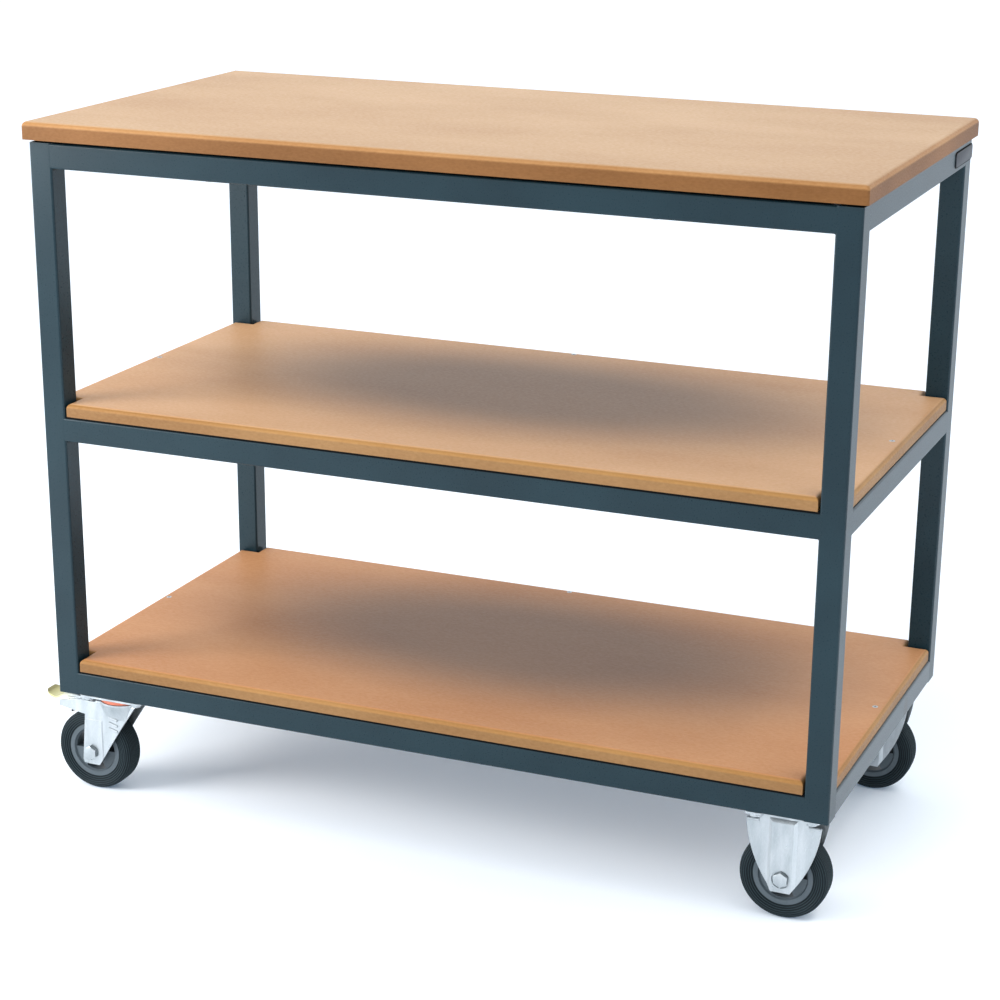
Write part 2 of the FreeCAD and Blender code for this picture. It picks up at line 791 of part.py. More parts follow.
def kingpin(centre):
    """The riveted kingpin: neck in the plate, flange under it, shank through the crown and formed head."""
    foot = crown_bottom - kingpin_gap
    flange_bottom = crown_top + kingpin_gap
    profile = [
        (0, caster_height), (kingpin_neck_radius, caster_height), (kingpin_neck_radius, plate_bottom),
        (kingpin_flange_radius, plate_bottom), (kingpin_flange_radius, flange_bottom),
        (kingpin_radius, flange_bottom), (kingpin_radius, foot), (kingpin_flange_radius, foot),
        (kingpin_flange_radius, foot - kingpin_head_height),
        (0, foot - kingpin_head_height),
    ]
    return turned(profile, Vector(centre.x, centre.y, 0), AXIS_Z)


def dust_seal(centre):
    """The moulded ring that covers the ball race, fixed under the plate."""
    base = Vector(centre.x, centre.y, crown_top + seal_clearance)
    height = plate_bottom - base.z
    ring = Part.makeCylinder(seal_radius, height, base)
    return ring.cut(Part.makeCylinder(seal_radius - seal_wall, height, base))


def race_balls(centre):
    """The balls between the plate's race and the fork's crown."""
    radius = race_gap / 2 - ball_clearance
    pitch = (race_inner_radius + race_outer_radius) / 2
    height = crown_top + race_gap / 2
    balls = []
    for i in range(ball_count):
        angle = 2 * math.pi * i / ball_count
        ball = Vector(centre.x + pitch * math.cos(angle), centre.y + pitch * math.sin(angle), height)
        balls.append(Part.makeSphere(radius, ball))
    return balls


def hood(centre, radius, half_width):
    """A skirt from a circle under the crown down to a rectangle across the fork's legs."""
    turn = radius * diagonal_share
    loops = []
    top = Vector(centre.x, centre.y, crown_bottom)
    signs = ((1, -1), (1, 1), (-1, 1), (-1, -1))
    corners = [top + Vector(u * turn, v * turn, 0) for u, v in signs]
    middles = [top + Vector(u * radius, v * radius, 0) for u, v in ((1, 0), (0, 1), (-1, 0), (0, -1))]
    sides = zip(corners, middles, corners[1:] + corners[:1])
    arcs = [Part.Arc(*side).toShape() for side in sides]
    loops.append(Part.Wire(arcs))
    low = Vector(centre.x, centre.y, crown_bottom - hood_depth)
    feet = [low + Vector(u * hood_half_length, v * half_width, 0) for u, v in signs]
    loops.append(Part.makePolygon(feet + feet[:1]))
    return Part.makeLoft(loops, True, True)


def fork_outline():
    """A swivel fork's leg seen from the side, about its axle: trailing arm, crown and raked front edge."""
    top = crown_top - wheel_radius
    crown_end = swivel_offset + crown_radius
    crown_start = swivel_offset - crown_radius
    edge_x, edge_z = swivel_offset * swivel_edge_shares[0], top * swivel_edge_shares[1]
    arm_top = pivot_rise + arm_margin
    return outline_face([
        Vector(-fork_tip_half_width, 0, -fork_tip_drop),
        Vector(fork_tip_half_width, 0, -fork_tip_drop),
        Vector(fork_heel_half_width, 0, -fork_heel_drop),
        (Vector(edge_x, 0, edge_z), Vector(crown_end - sheet, 0, top - sheet)),
        Vector(crown_end - sheet, 0, top),
        Vector(crown_start + sheet, 0, top),
        Vector(crown_start, 0, arm_top),
        Vector(-pivot_back - arm_margin, 0, arm_top),
        Vector(-arm_reach, 0, pivot_rise - arm_end_drop),
        Vector(-arm_reach, 0, pivot_rise - arm_depth),
        Vector(-arm_root_back, 0, pivot_rise - arm_root_drop),
        Vector(-fork_heel_half_width + sheet / 2, 0, -fork_heel_drop),
    ])


def swivel_fork(centre):
    """One pressing: crown, flared hood, two legs with a rib and flutes, and arms for the pedal."""
    hub = Vector(centre.x - swivel_offset, centre.y, wheel_radius)
    reach = 2 * (fork_outer + overrun)
    side_view = fork_outline().translated(hub - AXIS_Y * (reach / 2)).extrude(AXIS_Y * reach)
    foot = wheel_radius - fork_tip_drop - overrun
    low_x, high_x = hub.x - arm_reach - overrun, centre.x + crown_radius + overrun
    body = channel(centre.y, low_x, high_x, foot, crown_top).common(side_view)
    rise = crown_top - wheel_radius
    rib_low = hub + Vector(swivel_offset * swivel_rib_shares[0], 0, -fork_tip_drop - swivel_rib_height)
    rib_high = hub + Vector(swivel_offset * swivel_rib_shares[1], 0, rise * swivel_rib_top_share)
    body = with_embossing(body, hub, rib_low, rib_high, swivel_rib_height, swivel_rib_height, side_view)
    crown = Part.makeCylinder(crown_radius, sheet, Vector(centre.x, centre.y, crown_bottom))
    skirt = hood(centre, crown_radius, fork_outer).cut(hood(centre, crown_radius - sheet, fork_inner))
    tunnel = box(
        Vector(low_x, centre.y - fork_inner, foot), Vector(high_x, centre.y + fork_inner, crown_bottom)
    )
    pieces = [crown, skirt.cut(tunnel)] + [bead.common(side_view).cut(tunnel) for bead in flutes(hub)]
    body = body.fuse(pieces)
    crown_base = Vector(centre.x, centre.y, crown_bottom)
    bore = Part.makeCylinder(kingpin_radius + running_clearance, sheet, crown_base)
    pivot = pivot_cylinder(hub, pivot_radius + running_clearance, fork_outer + overrun)
    return body.cut([bore, pivot, axle_bore(hub)]).removeSplitter()


def flutes(hub):
    """Short stiffening beads pressed out of the legs beside the raked front edge."""
    rise = crown_top - wheel_radius
    slope = math.radians(flute_slope)
    along = Vector(math.cos(slope), 0, -math.sin(slope))
    beads = []
    for side in (FRONT, REAR):
        for i in range(flute_count):
            start = hub + Vector(
                swivel_offset * flute_shares[0], side * fork_outer, rise * flute_shares[1] + i * flute_pitch
            )
            beads.append(Part.makeCylinder(flute_radius, flute_length, start, along))
    return beads


def pivot_cylinder(hub, radius, half_length):
    """A cylinder on the pedal's pivot axis."""
    middle = hub + Vector(-pivot_back, -half_length, pivot_rise)
    return Part.makeCylinder(radius, 2 * half_length, middle, AXIS_Y)


def pedal_sheet_solid(hub):
    """The pedal's pressed strip: a gentle crest over the pivot, a dip and a turned-up tip."""
    places = zip(pedal_back_shares, pedal_rise_shares)
    crest = [
        hub + Vector(-pedal_reach * back, 0, pivot_rise + pedal_crest * rise) for back, rise in places
    ]
    under = [point - AXIS_Z * pedal_sheet for point in crest]
    upper, lower = Part.BSplineCurve(), Part.BSplineCurve()
    upper.interpolate(crest)
    lower.interpolate(under)
    tip_edge, root_edge = Part.makeLine(crest[-1], under[-1]), Part.makeLine(under[0], crest[0])
    edges = [upper.toShape(), tip_edge, lower.toShape(), root_edge]
    strip = Part.Face(Part.Wire(Part.__sortEdges__(edges)))
    strip = strip.translated(AXIS_Y * -pedal_half_width).extrude(AXIS_Y * (2 * pedal_half_width))
    near, far = hub.x - pedal_front_back, hub.x - pedal_reach
    taper = hub.x - pedal_reach * pad_taper_share
    flange_end = hub.x - pedal_reach * pedal_flange_share
    level = hub.z - overrun
    corner = pad_corner_radius * (1 - diagonal_share)
    plan = outline_face([
        Vector(near, hub.y - pedal_half_width, level),
        Vector(near, hub.y + pedal_half_width, level),
        Vector(flange_end, hub.y + pedal_half_width, level),
        Vector(taper, hub.y + pad_half_width, level),
        Vector(far + pad_corner_radius, hub.y + pad_half_width, level),
        (Vector(far + corner, hub.y + pad_half_width - corner, level),
         Vector(far, hub.y + pad_half_width - pad_corner_radius, level)),
        Vector(far, hub.y - pad_half_width + pad_corner_radius, level),
        (Vector(far + corner, hub.y - pad_half_width + corner, level),
         Vector(far + pad_corner_radius, hub.y - pad_half_width, level)),
        Vector(taper, hub.y - pad_half_width, level),
        Vector(flange_end, hub.y - pedal_half_width, level),
    ]).extrude(AXIS_Z * (pivot_rise + 2 * overrun))
    return strip.common(plan)


def brake_pedal(hub):
    """The foot pedal: pressed strip, a flange down each side and the trunnions it rocks on."""
    strip = pedal_sheet_solid(hub)
    near, far = hub.x - pedal_front_back, hub.x - pedal_reach * pedal_flange_share
    low = hub.z + pivot_rise - pedal_flange_depth
    high = hub.z + pivot_rise + pedal_crest * pedal_rise_shares[0] - pedal_sheet / 2
    pieces = []
    for side in (FRONT, REAR):
        outer, inner = hub.y + side * pedal_half_width, hub.y + side * (pedal_half_width - pedal_sheet)
        pieces.append(box(Vector(far, min(outer, inner), low), Vector(near, max(outer, inner), high)))
        stub = Part.makeCylinder(
            pivot_radius, fork_outer - pedal_half_width + pedal_sheet,
            Vector(hub.x - pivot_back, min(inner, hub.y + side * fork_outer), hub.z + pivot_rise), AXIS_Y,
        )
        pieces.append(stub)
    return strip.fuse(pieces).removeSplitter()


def brake_shoe(hub):
    """The brake block under the pedal, hollowed to meet the tyre when the pedal is down."""
    pivot = hub + Vector(-pivot_back, 0, pivot_rise)
    pressed = FreeCAD.Rotation(AXIS_Y, brake_angle).multVec(hub - pivot) + pivot
    half = shoe_half_width
    block = box(
        Vector(hub.x - shoe_far_back, hub.y - half, hub.z),
        Vector(hub.x - shoe_near_back, hub.y + half, hub.z + pivot_rise + pedal_crest - pedal_sheet),
    )
    start = pressed - AXIS_Y * (half + overrun)
    tyre_space = Part.makeCylinder(wheel_radius + shoe_gap, 2 * (half + overrun), start, AXIS_Y)
    return block.cut([tyre_space, pedal_sheet_solid(hub)])


# Assembly


def frame_shapes():
    """Every piece of the frame and its boards, with holes for the fasteners that pass through."""
    shapes = {**legs(), **rails()}
    shapes["frame_welds"] = frame_welds()
    tapped = bolt_holes(bolt_radius + thread_clearance)
    shapes["leg_foot_plates"] = [plate.cut(tapped) for plate in foot_plates()]
    shapes["corner_gussets"] = [plate.cut(bolt_holes(bolt_hole_radius)) for plate in gussets()]
    shelf_holes = shelf_screws(screw_hole_clearance)
    worktop_holes = worktop_screws(screw_hole_clearance)
    for name in list(shapes):
        if name.startswith("bottom_rail"):
            shapes[name] = shapes[name].cut(bolt_holes(bolt_hole_radius) + shelf_holes)
        if name.startswith("middle_rail"):
            shapes[name] = shapes[name].cut(shelf_holes)
        if name.startswith("top_rail"):
            shapes[name] = shapes[name].cut(worktop_holes)
    shapes["cushion_strips"] = [strip.cut(shelf_holes + worktop_holes) for strip in cushion_strips()]
    shapes["worktop"] = worktop().cut(worktop_holes)
    shapes["bottom_shelf"] = shelf(0).cut(shelf_holes)
    shapes["middle_shelf"] = shelf(1).cut(shelf_holes)
    shapes["shelf_screws"] = shelf_screws()
    shapes["worktop_screws"] = worktop_screws()
    shapes["caster_bolts"] = caster_bolts()
    shapes["weld_nuts"] = weld_nuts()
    return shapes


def caster_shapes():
    """Every piece of the two fixed and two swivel casters."""
    shapes = {"fixed_axle_bolts": [], "fixed_axle_sleeves": [], "kingpins": []}
    for (end, side), centre in caster_centres().items():
        place = SIDE_NAMES[side]
        corner = f"{place}_{END_NAMES[end]}"
        trail = swivel_offset if end == LEFT else 0
        hub = Vector(centre.x - trail, centre.y, wheel_radius)
        shapes[f"tyre_{corner}"] = tyre(hub)
        shapes[f"rim_{corner}"] = rim(hub)
        shapes[f"bearing_{corner}"] = bearing(hub)
        if end == RIGHT:
            shapes[f"fixed_bracket_{place}"] = fixed_bracket(centre)
            shapes["fixed_axle_bolts"] += axle_bolt(hub)
            shapes["fixed_axle_sleeves"].append(axle_sleeve(hub))
            continue
        shapes[f"swivel_plate_{place}"] = swivel_plate(centre)
        shapes["kingpins"].append(kingpin(centre))
        shapes[f"dust_seal_{place}"] = dust_seal(centre)
        shapes[f"race_balls_{place}"] = race_balls(centre)
        shapes[f"swivel_fork_{place}"] = swivel_fork(centre)
        shapes[f"swivel_axle_bolt_{place}"] = axle_bolt(hub)
        shapes[f"swivel_axle_sleeve_{place}"] = axle_sleeve(hub)
        shapes[f"brake_pedal_{place}"] = brake_pedal(hub)
        shapes[f"brake_shoe_{place}"] = brake_shoe(hub)
    return shapes


def main():
    """Build every piece and write one file for each."""
    os.makedirs("parts", exist_ok=True)
    shapes = {**frame_shapes(), **caster_shapes()}
    for name, shape in shapes.items():
        whole = Part.makeCompound(shape) if isinstance(shape, list) else shape
        whole = whole.translated(AXIS_X * table_middle_x)
        whole.exportStep(os.path.join("parts", f"{name}.step"))
        print(name, len(whole.Solids), "solids", "valid" if whole.isValid() else "not valid")
    print("table middle x", round(table_middle_x, 3), "nodes", len(shapes))


main()
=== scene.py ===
"""Looks of the mobile work table: a finish on every CAD piece, and fine pieces in place of the plainest ones.

Lengths are millimetres in the classes and metres in Blender. The frame is the CAD's own: +X towards the
fixed casters, -Y towards the front, +Z up, origin on the floor.
"""
import logging
from dataclasses import dataclass, field, replace
from enum import Enum
from typing import ClassVar

import bpy
import numpy as np
from mathutils import Matrix, Vector


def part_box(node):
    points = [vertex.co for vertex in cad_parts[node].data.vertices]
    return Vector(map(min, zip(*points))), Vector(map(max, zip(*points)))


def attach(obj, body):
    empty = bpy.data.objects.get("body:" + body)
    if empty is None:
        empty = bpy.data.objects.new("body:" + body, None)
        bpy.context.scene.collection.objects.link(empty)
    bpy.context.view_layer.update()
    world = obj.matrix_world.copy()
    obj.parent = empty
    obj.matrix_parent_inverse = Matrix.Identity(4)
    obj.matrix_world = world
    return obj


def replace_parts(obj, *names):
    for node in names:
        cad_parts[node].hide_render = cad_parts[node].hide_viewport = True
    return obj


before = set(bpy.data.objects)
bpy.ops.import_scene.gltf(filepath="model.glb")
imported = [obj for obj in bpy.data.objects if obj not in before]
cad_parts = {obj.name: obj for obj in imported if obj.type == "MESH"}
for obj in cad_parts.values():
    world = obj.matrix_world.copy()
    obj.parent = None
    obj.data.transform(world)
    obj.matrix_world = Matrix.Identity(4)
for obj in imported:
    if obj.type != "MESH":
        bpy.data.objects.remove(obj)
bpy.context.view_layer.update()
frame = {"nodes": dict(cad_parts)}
LOG = logging.getLogger("work_table")
MM = 0.001
CREST = "crest"
SHARP_DEGREES = 40.0
SMOOTH = {"interpolation_type": "SMOOTHSTEP"}
X, Y, Z = np.eye(3)


class Place(Enum):
    """Where a caster stands, named as the CAD nodes are."""

    FRONT_LEFT = "front_left"
    REAR_LEFT = "rear_left"
    FRONT_RIGHT = "front_right"
    REAR_RIGHT = "rear_right"

    @property
    def side(self) -> str:
        """Front or rear."""
        return self.value.split("_")[0]

    @property
    def swivels(self) -> bool:
        """Whether this caster turns under its plate."""
        return self.value.endswith("left")

    @property
    def carrier(self) -> str:
        """The CAD body that carries the wheel's axle."""
        return f"swivel_{self.side}" if self.swivels else "table"


class Closing(Enum):
    """How a grid of points closes along its first axis."""

    CAPPED = "a face over the first and the last row"
    RING = "the last row joined to the first"


def linear(hex_colour: str) -> tuple[float, float, float, float]:
    """Turn an sRGB hex colour into linear RGBA.

    Args:
        hex_colour: six hex digits after a hash sign.

    Returns:
        The linear colour with full alpha.
    """
    srgb = np.array([int(hex_colour[i:i + 2], 16) for i in (1, 3, 5)]) / 255
    value = np.where(srgb <= 0.04045, srgb / 12.92, ((srgb + 0.055) / 1.055) ** 2.4)
    return (*(float(v) for v in value), 1.0)


def add(
    tree: bpy.types.NodeTree, kind: str, settings: dict | None = None, **inputs: object
) -> bpy.types.Node:
    """Add a node with its settings and inputs.

    Args:
        tree: the material's node tree.
        kind: the node's type name.
        settings: attributes of the node itself.
        inputs: values or output sockets, by socket name with spaces as underscores; a name that starts
            with i and digits is a socket's number.

    Returns:
        The new node.
    """
    made = tree.nodes.new(kind)
    for key, value in (settings or {}).items():
        setattr(made, key, value)
    for key, value in inputs.items():
        numbered = key[0] == "i" and key[1:].isdigit()
        socket = made.inputs[int(key[1:])] if numbered else made.inputs[key.replace("_", " ")]
        if isinstance(value, bpy.types.NodeSocket):
            tree.links.new(value, socket)
        else:
            socket.default_value = value
    return made


@dataclass(frozen=True)
class Patch:
    """A soft-edged patch of another colour: an ellipsoid round a place on the object.

    Attributes:
        colour: the patch's colour.
        centre_mm, half_mm: its middle and its half sizes.
        share: how far the colour takes over in the middle.
    """

    colour: str
    centre_mm: tuple[float, float, float]
    half_mm: tuple[float, float, float]
    share: float


@dataclass(frozen=True)
class Tilt:
    """A fibrous colour that takes over where a surface turns away from facing up.

    Attributes:
        colour, tint: the colour and the colour of its fibres.
        start, full: upward part of the normal where it sets in and where it is full.
    """

    colour: str
    tint: str
    start: float
    full: float


@dataclass(frozen=True)
class Finish:
    """A surface made of one base colour, cloudy variation and fine grain.

    Attributes:
        name: the material's common name and how it was made.
        colour, tint: main colour and the colour of the variation.
        tilts, patches: colours that follow the surface's slope and places on the object.
        crest: colour of a painted highlight on crests, where the piece has an attribute of that name.
        metallic, roughness, specular: shader values.
        spread: how far the grain moves the roughness.
        cloud_mm, grain_mm: sizes of the variation and of the grain.
        grain_share: the grain's part in the colour.
        bump_mm: height of the grain.
        stretch: grain scale along X, Y and Z.
        CLOUD_DETAIL, GRAIN_DETAIL: octaves of the two noises.
        CONTRAST: half the range of noise that takes the colour to the tint.
        GRAIN_RANGE: the grain's values between which the roughness runs.
        PATCH_DEPTH: how deep inside a patch it is full, from 0 at its rim to 1.
        BUMP_STRENGTH: the bump node's strength.
    """

    CLOUD_DETAIL: ClassVar[float] = 4.0
    GRAIN_DETAIL: ClassVar[float] = 3.0
    CONTRAST: ClassVar[float] = 0.22
    GRAIN_RANGE: ClassVar[tuple[float, float]] = (0.3, 0.7)
    PATCH_DEPTH: ClassVar[float] = 0.68
    BUMP_STRENGTH: ClassVar[float] = 0.6

    name: str
    colour: str
    tint: str
    tilts: tuple[Tilt, ...] = ()
    patches: tuple[Patch, ...] = ()
    crest: str = ""
    metallic: float = 0.0
    roughness: float = 0.5
    specular: float = 0.5
    spread: float = 0.1
    cloud_mm: float = 120.0
    grain_mm: float = 1.5
    grain_share: float = 0.45
    bump_mm: float = 0.05
    stretch: tuple[float, float, float] = (1.0, 1.0, 1.0)

    def material(self) -> bpy.types.Material:
        """Build the material, or give the one already built.

        Clouds and grain mix the colours, and the grain alone moves the roughness and the bump.

        Returns:
            The material.
        """
        known = bpy.data.materials.get(self.name)
        if known:
            return known
        made = bpy.data.materials.new(self.name)
        made.use_nodes = True
        tree = made.node_tree
        shader = tree.nodes["Principled BSDF"]
        where = add(tree, "ShaderNodeTexCoord")
        placed = add(tree, "ShaderNodeMapping", Vector=where.outputs["Object"], Scale=self.stretch)
        cloud = add(tree, "ShaderNodeTexNoise", Vector=placed.outputs[0], Scale=1 / (self.cloud_mm * MM),
                    Detail=self.CLOUD_DETAIL)
        grain = add(tree, "ShaderNodeTexNoise", Vector=placed.outputs[0], Scale=1 / (self.grain_mm * MM),
                    Detail=self.GRAIN_DETAIL)
        mixed = add(tree, "ShaderNodeMath", {"operation": "MULTIPLY_ADD"}, i0=grain.outputs["Fac"],
                    i1=self.grain_share, i2=cloud.outputs["Fac"])
        middle = 0.5 + self.grain_share / 2
        share = add(tree, "ShaderNodeMapRange", Value=mixed.outputs[0], From_Min=middle - self.CONTRAST,
                    From_Max=middle + self.CONTRAST)
        low, high = self.GRAIN_RANGE
        rough = add(tree, "ShaderNodeMapRange", Value=grain.outputs["Fac"], From_Min=low, From_Max=high,
                    To_Min=self.roughness - self.spread / 2, To_Max=self.roughness + self.spread / 2)
        bump = add(tree, "ShaderNodeBump", Strength=self.BUMP_STRENGTH, Distance=self.bump_mm * MM,
                   Height=grain.outputs["Fac"])
        tree.links.new(self.coloured(tree, where, share.outputs[0]), shader.inputs["Base Color"])
        tree.links.new(rough.outputs[0], shader.inputs["Roughness"])
        tree.links.new(bump.outputs[0], shader.inputs["Normal"])
        shader.inputs["Metallic"].default_value = self.metallic
        shader.inputs["Specular IOR Level"].default_value = self.specular
        return made

    def coloured(
        self, tree: bpy.types.NodeTree, where: bpy.types.Node, share: bpy.types.NodeSocket
    ) -> bpy.types.NodeSocket:
        """Lay the tint, the tilts, the patches and the crests over the main colour, in that order.

        Args:
            tree: the material's node tree.
            where: its Texture Coordinate node.
            share: the tint's share, from the clouds and the grain.

        Returns:
            The finished colour's socket.
        """
        colour = self.mix(tree, share, linear(self.colour), self.tint)
        rise = add(tree, "ShaderNodeSeparateXYZ", Vector=where.outputs["Normal"]).outputs["Z"]
        for tilt in self.tilts:
            turned = add(tree, "ShaderNodeMapRange", SMOOTH, Value=rise, From_Min=tilt.start,
                         From_Max=tilt.full)
            tilt_colour = self.mix(tree, share, linear(tilt.colour), tilt.tint)
            colour = self.mix(tree, turned.outputs[0], colour, tilt_colour)
        for patch in self.patches:
            scale = tuple(1 / (half * MM) for half in patch.half_mm)
            shift = tuple(-c * MM * k for c, k in zip(patch.centre_mm, scale))
            near = add(tree, "ShaderNodeMapping", Vector=where.outputs["Object"], Scale=scale, Location=shift)
            ball = add(tree, "ShaderNodeTexGradient", {"gradient_type": "SPHERICAL"}, Vector=near.outputs[0])
            soft = add(tree, "ShaderNodeMapRange", SMOOTH, Value=ball.outputs["Fac"],
                       From_Max=self.PATCH_DEPTH, To_Max=patch.share)
            colour = self.mix(tree, soft.outputs[0], colour, patch.colour)
        # The crest colour is a painted highlight laid over the crests
        if self.crest:
            rubbed = add(tree, "ShaderNodeAttribute", {"attribute_name": CREST})
            colour = self.mix(tree, rubbed.outputs["Fac"], colour, self.crest)
        return colour

    @staticmethod
    def mix(
        tree: bpy.types.NodeTree, share: bpy.types.NodeSocket, under: object, over: object
    ) -> bpy.types.NodeSocket:
        """Lay a hex or linked colour over a colour by a share, and give the mixed colour's socket."""
        top = linear(over) if isinstance(over, str) else over
        return add(tree, "ShaderNodeMix", {"data_type": "RGBA"}, i0=share, i6=under, i7=top).outputs[2]


# Grains are real sizes down to about 0.6 mm. The finer ones of moulded and brushed surfaces, some 0.1 mm,
# would vanish in the render, so they are drawn as coarse as that.

# Powder coat on steel tube: a satin skin whose orange peel, about 2 mm across, breaks up the reflections
FRAME_PAINT = Finish("powder_coated_steel", "#0E242C", "#152C34", roughness=0.31, specular=0.25, grain_mm=2.0,
                     bump_mm=0.06)
# The coat on the lower right rail is glossier, and dark where the weld of the rear gusset shows through
WELDED_PAINT = replace(FRAME_PAINT, name="powder_coat_over_weld", specular=0.5,
                       patches=(Patch("#070D10", (610.0, 120.0, 170.0), (60.0, 17.0, 34.0), 0.95),))
# Sealed fibreboard: pale pressed face with fine fibres along the board, honey-brown where the edge is milled,
# and darker still on the upright edges, partly the milled edge's own colour and partly painted shade
FIBREBOARD = Finish("sealed_fibreboard", "#C4A07A", "#B58E67", roughness=0.5, specular=0.16, spread=0.16,
                    cloud_mm=160.0, grain_mm=2.5, bump_mm=0.04, stretch=(0.45, 1.0, 1.0),
                    tilts=(Tilt("#AE8152", "#9A6C3F", 0.97, 0.75), Tilt("#80562F", "#6A4420", 0.4, 0.0)))
# The shelves' pressed face has painted shade in the middle, where the board above shades it, and their milled
# edges are paler than the worktop's
SHELF_BOARD = replace(FIBREBOARD, name="fibreboard_painted_shade", colour="#D7AA7F", tint="#C8986C",
                      tilts=(Tilt("#A17745", "#8F6435", 0.97, 0.75), Tilt("#8E6B45", "#7A5734", 0.4, 0.0)),
                      patches=(Patch("#504E4D", (35.0, 40.0, 400.0), (660.0, 300.0, 2000.0), 0.69),))
# The lower shelf is the darker and redder of the two, and has the same painted shade in its middle
LOW_BOARD = replace(SHELF_BOARD, name="dark_fibreboard_painted_shade", colour="#C69165", tint="#B88054")
# Bright zinc on pressed steel: pale, with faint upright streaks from the dip
ZINC = Finish("bright_zinc_plate", "#BFC4C7", "#9AA2A6", metallic=0.9, roughness=0.34, spread=0.14,
              cloud_mm=20.0, grain_mm=1.2, grain_share=0.2, bump_mm=0.02, stretch=(1.0, 1.0, 0.25))
# Yellow passivated zinc on the pedal's tip, fading to the plain zinc of its arm
YELLOW_ZINC = replace(ZINC, name="yellow_passivated_zinc",
                      patches=(Patch("#D3CC93", (-640.0, 0.0, 140.0), (90.0, 2000.0, 300.0), 0.95),))
# Moulded rubber tyre: matte, with a grey painted highlight on the crests of its ribs
TYRE = Finish("moulded_rubber", "#050F14", "#0A151A", crest="#253338", roughness=0.6, specular=0.18,
              cloud_mm=30.0, grain_mm=0.9, bump_mm=0.05)
# Moulded polyamide rim: mid grey with a fine spark-eroded grain
RIM = Finish("moulded_polyamide", "#3B464C", "#454F56", roughness=0.55, cloud_mm=25.0, grain_mm=0.8,
             bump_mm=0.03)
# Moulded seal ring: warm orange-red
SEAL = Finish("moulded_seal", "#D8785C", "#C46A50", cloud_mm=12.0, grain_mm=0.8, bump_mm=0.02)
# Black rubber strip and brake block: dull and even; the same black draws the painted shade in the gaps under
# the shelves' front edges, and the dark rim round the bare plate
BLACK_RUBBER_AND_SHADE = Finish("black_rubber_and_painted_shade", "#060708", "#0B0C0D", roughness=0.8, specular=0.1,
                      cloud_mm=20.0, grain_mm=1.0, bump_mm=0.05)
# Dark moulded bearing cage, and the shadowed recess of a screw's drive
DARK_CAGE_AND_DRIVE_SHADE = Finish("dark_cage_and_drive_shade", "#2A2D30", "#34383B", roughness=0.6, cloud_mm=10.0, grain_mm=0.8,
              bump_mm=0.02)
# Bare anodised plate, finely brushed along its length
PLATE = Finish("brushed_anodised_plate", "#3C3E43", "#4B4D52", metallic=0.3, roughness=0.55, specular=0.3,
               cloud_mm=20.0, grain_mm=0.6, bump_mm=0.02, stretch=(1.0, 0.1, 1.0))


def shell(grids: np.ndarray, closing: Closing) -> tuple[np.ndarray, list[list[int]]]:
    """Work out the corners and outward faces of grids that each close on themselves along their columns.

    A grid's signed volume, the sum of its quads' triple products from one of its own points, tells whether
    its faces point inwards; such a grid is turned round.

    Args:
        grids: an array of (grids, rows, columns, 3) in millimetres.
        closing: how each grid closes along its rows.

    Returns:
        The corners, and each face as a list of their numbers.
    """
    count, rows, columns, _ = grids.shape
    cells = np.arange(count * rows * columns).reshape(count, rows, columns)
    ahead = np.roll(cells, -1, axis=2)
    quads = np.stack([cells, ahead, np.roll(ahead, -1, axis=1), np.roll(cells, -1, axis=1)], axis=-1)
    caps = np.empty((count, 0, columns), int)
    if closing is Closing.CAPPED:
        quads = quads[:, :-1]
        caps = np.stack([cells[:, 0, ::-1], cells[:, -1]], axis=1)
    quads = quads.reshape(count, -1, 4)
    corners = grids.reshape(-1, 3)
    a, b, c, d = (corners[quads[..., i]] - grids[:, 0, :1] for i in range(4))
    inside_out = np.einsum("gij,gij->g", a, np.cross(b, c) + np.cross(c, d)) < 0
    quads[inside_out] = quads[inside_out][..., ::-1]
    caps[inside_out] = caps[inside_out][..., ::-1]
    return corners, quads.reshape(-1, 4).tolist() + caps.reshape(-1, columns).tolist()


def piece(
    name: str, shells: list[tuple[np.ndarray, list[list[int]]]], finish: Finish, body: str,
    crest: np.ndarray | None = None
) -> bpy.types.Object:
    """Make one object from closed shells.

    Args:
        name: the piece's name.
        shells: corners in millimetres and faces, as shell gives them.
        finish: its material.
        body: the CAD body it rides on.
        crest: from 0 to 1 for each corner, where the finish paints a highlight on crests.

    Returns:
        The object, at the origin.
    """
    starts = np.cumsum([0] + [len(corners) for corners, _ in shells])
    faces = [[int(start) + i for i in face] for start, (_, some) in zip(starts, shells) for face in some]
    mesh = bpy.data.meshes.new(name)
    mesh.from_pydata((np.concatenate([corners for corners, _ in shells]) * MM).tolist(), [], faces)
    if crest is not None:
        mesh.attributes.new(CREST, "FLOAT", "POINT").data.foreach_set("value", crest)
    mesh.validate()
    mesh.shade_smooth()
    mesh.set_sharp_from_angle(angle=np.radians(SHARP_DEGREES))
    made = bpy.data.objects.new(name, mesh)
    bpy.context.collection.objects.link(made)
    made.data.materials.append(finish.material())
    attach(made, body)
    LOG.info("%s: %d vertices on %s", name, len(mesh.vertices), body)
    return made


def dress(finish: Finish, *starts: str) -> None:
    """Give a finish to the CAD nodes of a kind.

    Args:
        finish: the finish.
        starts: the words that the nodes' names start with.
    """
    for name, node in frame["nodes"].items():
        if name.startswith(starts):
            node.data.materials.clear()
            node.data.materials.append(finish.material())
            LOG.info("%s: %s", name, finish.name)


def span(node: str) -> tuple[np.ndarray, np.ndarray]:
    """A CAD node's lowest and highest corners in millimetres."""
    low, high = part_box(node)
    return np.array(low) / MM, np.array(high) / MM


